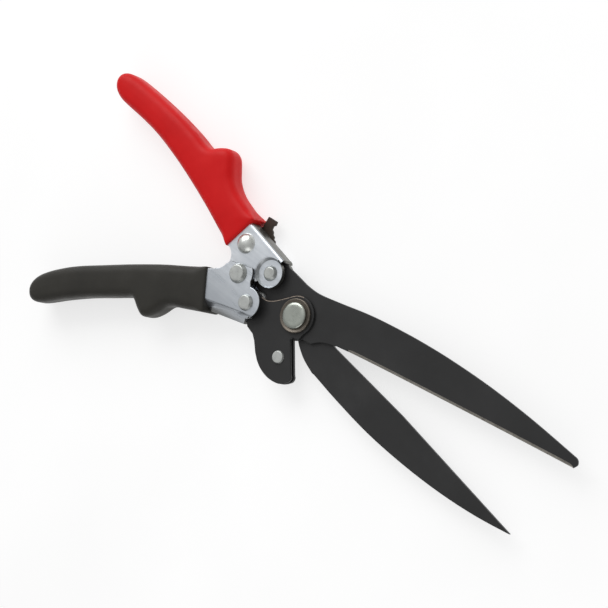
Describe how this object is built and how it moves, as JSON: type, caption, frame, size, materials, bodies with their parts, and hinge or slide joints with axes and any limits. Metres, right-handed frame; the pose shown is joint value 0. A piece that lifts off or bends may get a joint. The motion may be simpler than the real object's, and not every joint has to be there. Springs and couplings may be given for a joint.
{
  "type": "grass shears",
  "caption": "Hand-held grass shears with compound-action pressed steel handles in vinyl grips, long dark blades, a return spring and a closing latch.",
  "frame": {"origin": "main pivot axis, on the flat end of the pivot nut that the tool rests on", "axes": "+X from the handles towards the blade tips, +Y towards the red handle, +Z out of the front of the tool along the pivots"},
  "size_m": [0.3513, 0.142, 0.02],
  "materials": {
    "blade_steel": "satin dark coating",
    "zinc_steel": "zinc plated, satin",
    "rivet_steel": "plain steel, satin",
    "ring_steel": "browned steel",
    "red_vinyl": "satin vinyl",
    "black_vinyl": "satin vinyl",
    "latch_steel": "dark coated",
    "spring_steel": "oiled spring wire"
  },
  "bodies": {
    "lower_blade_group": {"lower_blade": "blade_steel", "front_plate": "blade_steel", "pivot_bolt": "rivet_steel", "pivot_ring": "ring_steel", "pivot_bush": "rivet_steel", "pivot_washer": "rivet_steel", "pivot_nut": "rivet_steel", "lobe_spacer": "rivet_steel", "lobe_rivet": "rivet_steel", "link_spacer": "rivet_steel", "link_collar_front": "rivet_steel", "link_collar_rear": "rivet_steel", "lower_link_rivet": "rivet_steel"},
    "upper_blade_group": {"upper_blade": "blade_steel"},
    "lower_handle_group": {"lower_handle": "zinc_steel", "lower_grip": "black_vinyl", "handle_pivot_rivet": "rivet_steel", "pivot_sleeve": "rivet_steel", "return_spring": "spring_steel"},
    "upper_handle_group": {"upper_handle": "zinc_steel", "upper_grip": "red_vinyl", "upper_link_rivet": "rivet_steel", "tang_washer_front": "rivet_steel", "tang_washer_rear": "rivet_steel", "latch_rivet": "rivet_steel", "latch_sleeve": "rivet_steel", "latch_shim": "rivet_steel"},
    "latch_group": {"latch": "latch_steel"}
  },
  "joints": [
    {"name": "blade_pivot", "type": "hinge", "parent": "lower_blade_group", "child": "upper_blade_group", "pos_m": [0, 0, 0.01], "axis": [0, 0, 1], "range_deg": [-17.5, 0]},
    {"name": "lower_link_pivot", "type": "hinge", "parent": "lower_blade_group", "child": "lower_handle_group", "pos_m": [-0.0275, -0.01, 0.01], "axis": [0, 0, 1], "range_deg": [-26.5, 0]},
    {"name": "handle_squeeze", "type": "hinge", "parent": "lower_handle_group", "child": "upper_handle_group", "pos_m": [-0.041, 0, 0.01], "axis": [0, 0, 1], "range_deg": [0, 35], "stiffness_Nm_per_rad": 0.3, "springref_deg": -34.38, "deforming": ["return_spring"]},
    {"name": "latch_swing", "type": "hinge", "parent": "upper_handle_group", "child": "latch_group", "pos_m": [-0.0477, 0.0152, 0.01], "axis": [0, 0, 1], "range_deg": [-28, 0]}
  ],
  "couplings": [
    {"joint": "blade_pivot", "follows": "handle_squeeze", "ratio": -0.4918},
    {"joint": "lower_link_pivot", "follows": "handle_squeeze", "ratio": -0.7487}
  ]
}
